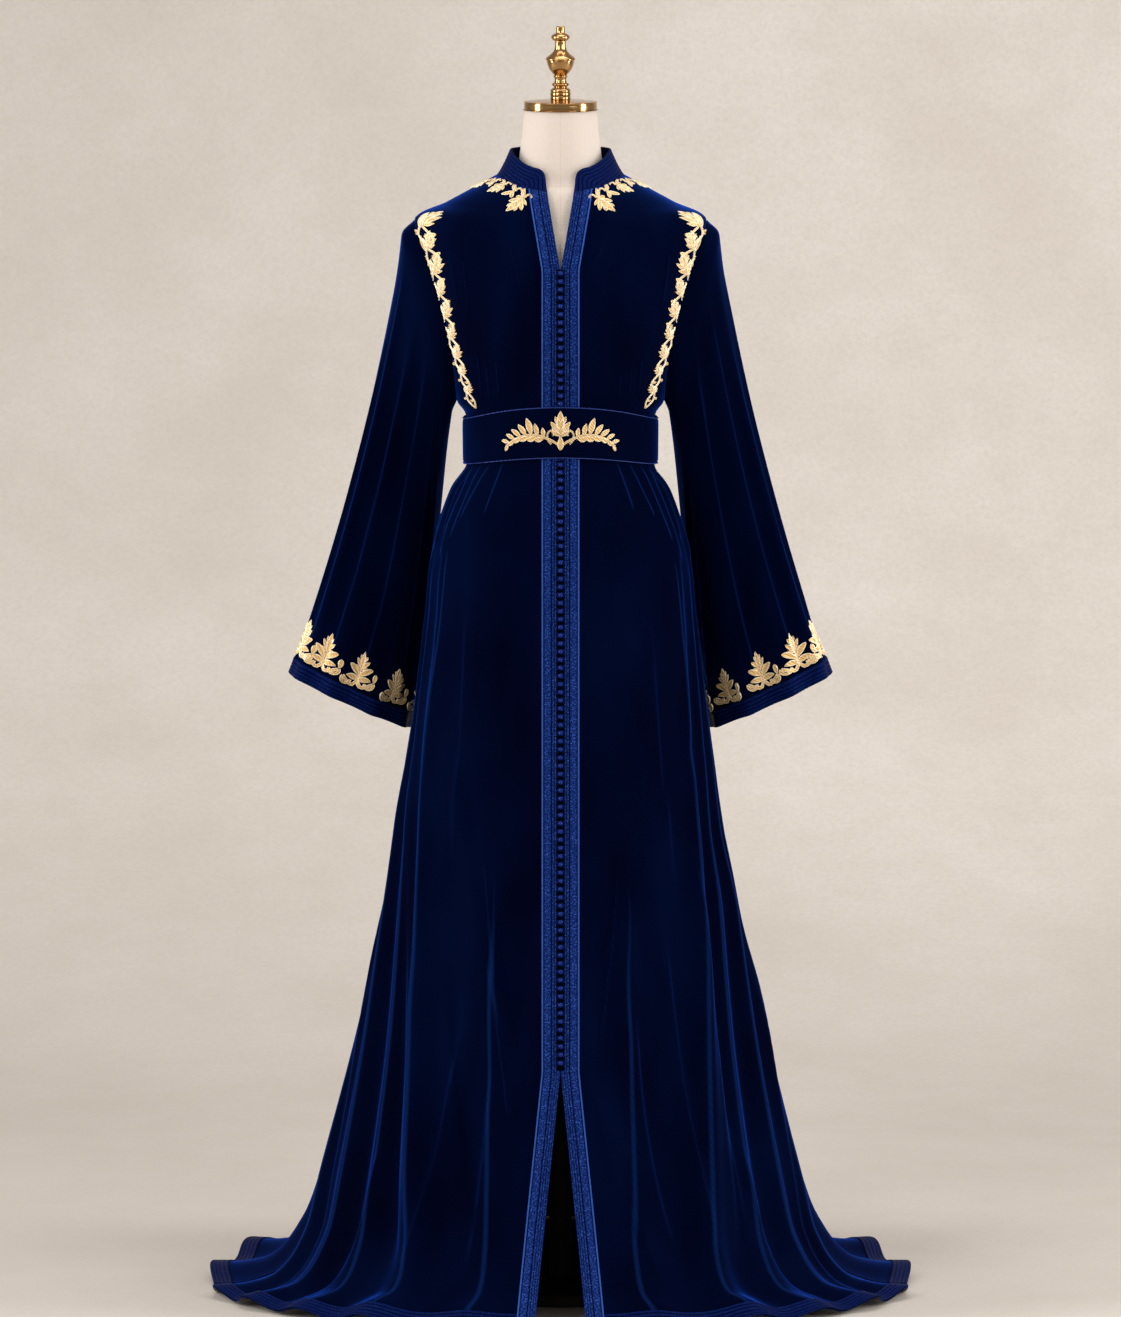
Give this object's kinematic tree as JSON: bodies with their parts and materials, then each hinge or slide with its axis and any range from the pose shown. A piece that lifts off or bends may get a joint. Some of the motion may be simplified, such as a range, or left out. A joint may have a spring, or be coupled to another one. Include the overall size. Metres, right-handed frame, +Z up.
{
  "type": "velvet kaftan on a dress form with a stand",
  "caption": "Floor-length velvet kaftan with bell sleeves, braid, knotted buttons, gold applique and a belt, worn by a limbless dress form on a stand.",
  "frame": {"origin": "centre of the stand base's underside, on the floor under the pole", "axes": "+Z up along the pole; -Y is the front of the kaftan; +X is the wearer's left"},
  "size_m": [0.9204, 0.9062, 1.6514],
  "materials": {
    "velvet": "royal blue velvet, deep pile",
    "braid": "woven silk braid, satin",
    "cord_knots": "knotted silk cord",
    "gold_thread": "gold thread embroidery",
    "linen": "cream linen cover",
    "brass": "polished",
    "stand_metal": "satin black powder coat"
  },
  "bodies": {
    "root": {"bodice_front_left": "velvet", "skirt_front_left": "velvet", "bodice_front_right": "velvet", "skirt_front_right": "velvet", "bodice_back_left": "velvet", "skirt_back_left": "velvet", "bodice_back_right": "velvet", "skirt_back_right": "velvet", "front_band_left": "braid", "front_band_right": "braid", "hem_band_front_left": "braid", "hem_band_front_right": "braid", "hem_band_back_left": "braid", "hem_band_back_right": "braid", "sleeve_left": "velvet", "sleeve_right": "velvet", "cuff_band_left": "braid", "cuff_band_right": "braid", "collar": "braid", "belt": "velvet", "buttons_upper": "cord_knots", "buttons_lower": "cord_knots", "applique_armhole_left": "gold_thread", "applique_armhole_right": "gold_thread", "applique_belt": "gold_thread", "applique_neck_left": "gold_thread", "applique_neck_right": "gold_thread", "applique_cuff_left": "gold_thread", "applique_cuff_right": "gold_thread", "form_body": "linen", "form_neck_cap": "brass", "form_finial": "brass", "form_base_plate": "stand_metal", "stand_pole": "stand_metal", "stand_base": "stand_metal"}
  },
  "joints": []
}
